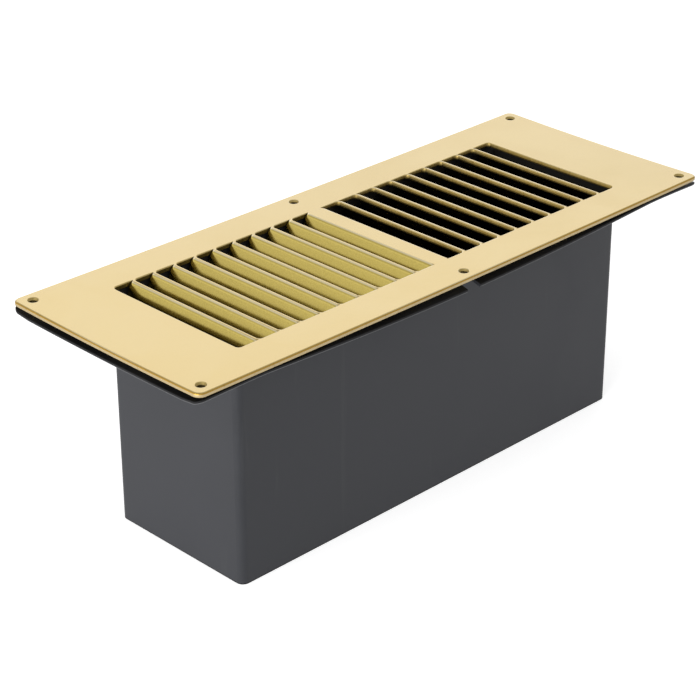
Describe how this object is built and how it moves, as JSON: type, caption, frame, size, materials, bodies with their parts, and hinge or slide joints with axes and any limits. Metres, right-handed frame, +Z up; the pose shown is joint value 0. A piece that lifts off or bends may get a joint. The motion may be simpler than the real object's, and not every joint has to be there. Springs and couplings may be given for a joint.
{
  "type": "louvred floor grille with duct sleeve",
  "caption": "Rectangular louvred brass face plate with two banks of opposed blades, on a flanged grey plastic duct sleeve that drops into a floor or wall opening.",
  "frame": {"origin": "centre of the duct sleeve's open bottom, in the plane of its rim", "axes": "+X along the grille's length, +Y across it, +Z up the duct and out through the louvres"},
  "size_m": [0.3, 0.1146, 0.1077],
  "materials": {
    "brass": "lightly grained, clear lacquered",
    "grey_plastic": "matt moulded"
  },
  "bodies": {
    "sleeve": {"duct_sleeve": "grey_plastic"},
    "plate": {"face_plate": "brass"}
  },
  "joints": [
    {"name": "plate_lift", "type": "slide", "parent": "sleeve", "child": "plate", "axis": [0, 0, 1], "range_m": [0, 0.06]}
  ]
}
